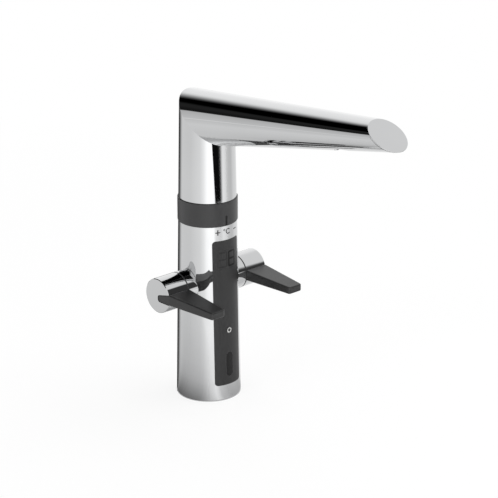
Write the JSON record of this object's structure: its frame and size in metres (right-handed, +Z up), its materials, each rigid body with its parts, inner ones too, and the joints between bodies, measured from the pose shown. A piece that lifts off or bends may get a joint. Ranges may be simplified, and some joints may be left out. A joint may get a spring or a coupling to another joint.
{
  "type": "electronic kitchen tap",
  "caption": "Kitchen tap with a tapered chromed column, side levers, a dark control panel, a turning temperature ring and a swivelling oval spout.",
  "frame": {"origin": "on the worktop, at the axis of the column, in the middle of the foot's underside", "axes": "+Z up along the column; the control panel and the spout face -Y; +X is to the right seen from the front"},
  "size_m": [0.115, 0.2592, 0.2981],
  "materials": {
    "chrome": "polished chrome plate over brass",
    "ring_dark": "satin anthracite lacquer",
    "lever_dark": "satin anthracite lacquer",
    "panel_dark": "satin anthracite moulding",
    "smoked": "smoked gloss",
    "brass": "machined casting",
    "rubber": "matt black",
    "ceramic": "lapped white ceramic",
    "plastic_white": "natural white moulding",
    "plastic_black": "fine satin",
    "plastic_grey": "fine satin",
    "board_green": "solder mask",
    "steel": "plain",
    "hose": "smooth grey hose"
  },
  "bodies": {
    "column": {"body_shell": "chrome", "control_panel": "panel_dark", "display_lens": "smoked", "sensor_window": "smoked", "valve_body": "brass", "swivel_post": "brass", "left_cartridge_nut": "brass", "right_cartridge_nut": "brass", "base_seal": "rubber", "cable_gland": "rubber", "panel_gasket": "rubber", "swivel_o_rings": "rubber", "left_cartridge_seal": "rubber", "right_cartridge_seal": "rubber", "left_fixed_disc": "ceramic", "right_fixed_disc": "ceramic", "slide_ring": "plastic_white", "left_cartridge": "plastic_white", "right_cartridge": "plastic_white", "ring_bush": "plastic_white", "display_module": "plastic_black", "sensor_module": "plastic_black", "tact_switch": "plastic_black", "hall_sensor": "plastic_black", "control_board": "board_green", "board_screws": "steel"},
    "spout": {"spout_riser": "chrome", "spout_arm": "chrome", "spout_end_cap": "chrome", "spout_set_screw": "steel", "swivel_bush": "plastic_white", "outlet_hose": "hose", "aerator_housing": "chrome", "aerator_insert": "plastic_grey", "aerator_seal": "rubber"},
    "ring": {"temperature_ring": "ring_dark", "ring_magnets": "steel"},
    "button": {"mode_button": "plastic_black", "button_light_ring": "plastic_white"},
    "left_handle": {"left_hub": "chrome", "left_lever": "lever_dark", "left_spindle": "brass", "left_moving_disc": "ceramic", "left_lever_screw": "steel"},
    "right_handle": {"right_hub": "chrome", "right_lever": "lever_dark", "right_spindle": "brass", "right_moving_disc": "ceramic", "right_lever_screw": "steel"}
  },
  "joints": [
    {"name": "spout_swivel", "type": "hinge", "parent": "column", "child": "spout", "pos_m": [0, 0, 0.2], "axis": [0, 0, 1], "range_deg": [-70, 70]},
    {"name": "ring_turn", "type": "hinge", "parent": "column", "child": "ring", "pos_m": [0, 0, 0.175], "axis": [0, 0, 1], "range_deg": [-25, 25]},
    {"name": "left_lever_lift", "type": "hinge", "parent": "column", "child": "left_handle", "pos_m": [-0.0457, 0.002, 0.105], "axis": [-1, 0, 0], "range_deg": [0, 90]},
    {"name": "right_lever_lift", "type": "hinge", "parent": "column", "child": "right_handle", "pos_m": [0.0457, 0.002, 0.105], "axis": [-1, 0, 0], "range_deg": [0, 90]},
    {"name": "button_press", "type": "slide", "parent": "column", "child": "button", "axis": [0, 1, 0], "range_m": [0, 0.0008], "stiffness_N_per_m": 800}
  ]
}
